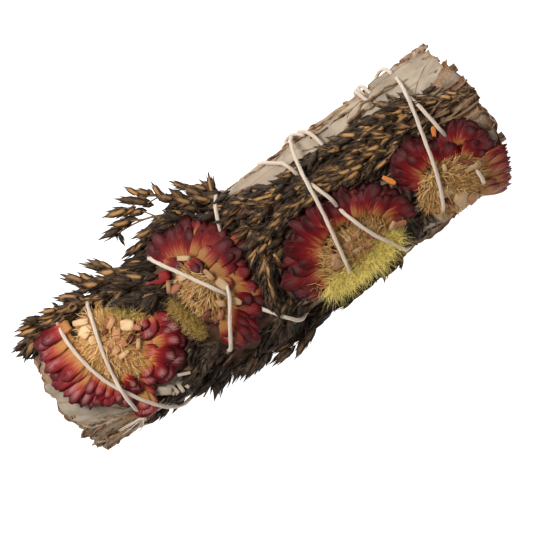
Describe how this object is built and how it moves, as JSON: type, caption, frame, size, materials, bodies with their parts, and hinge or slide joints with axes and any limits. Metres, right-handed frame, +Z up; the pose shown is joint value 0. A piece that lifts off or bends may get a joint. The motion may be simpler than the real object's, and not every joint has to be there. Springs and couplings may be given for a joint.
{
  "type": "sage smudge stick",
  "caption": "Long roll of dried sage leaves dressed with dark seed sprays, halved strawflowers and yellow down, bound with criss-crossed cotton string.",
  "frame": {"origin": "centre of the narrow flat that the stick rests on, under the middle of the sage roll", "axes": "+X along the stick towards the cut stalks, +Y across it towards the side where the upper seed sprays stick out, +Z up through the flowers"},
  "size_m": [0.1374, 0.0649, 0.0378],
  "materials": {
    "dried_sage": "dry felted grey-beige leaf with brown curled edges",
    "seed_spray": "dry dark brown husks with a tan streak",
    "flower_bracts": "papery sheen, maroon at the tip to straw gold at the base",
    "flower_disc": "dull straw-coloured chaff",
    "yellow_down": "soft lemon-yellow hair",
    "orange_petal": "matt orange petal",
    "cotton_string": "off-white twisted cotton"
  },
  "bodies": {
    "root": {"cotton_string": "cotton_string", "down_tuft_1": "yellow_down", "down_tuft_2": "yellow_down", "down_tuft_3": "yellow_down", "orange_petal_1": "orange_petal", "orange_petal_2": "orange_petal", "red_petal": "flower_bracts", "sage_bunch": "dried_sage", "seed_spray_1": "seed_spray", "seed_spray_10": "seed_spray", "seed_spray_11": "seed_spray", "seed_spray_12": "seed_spray", "seed_spray_13": "seed_spray", "seed_spray_14": "seed_spray", "seed_spray_15": "seed_spray", "seed_spray_2": "seed_spray", "seed_spray_3": "seed_spray", "seed_spray_4": "seed_spray", "seed_spray_5": "seed_spray", "seed_spray_6": "seed_spray", "seed_spray_7": "seed_spray", "seed_spray_8": "seed_spray", "seed_spray_9": "seed_spray", "strawflower_1": "flower_bracts", "strawflower_1_disc": "flower_disc", "strawflower_2": "flower_bracts", "strawflower_2_disc": "flower_disc", "strawflower_3": "flower_bracts", "strawflower_3_disc": "flower_disc", "strawflower_4": "flower_bracts", "strawflower_4_disc": "flower_disc"}
  },
  "joints": []
}
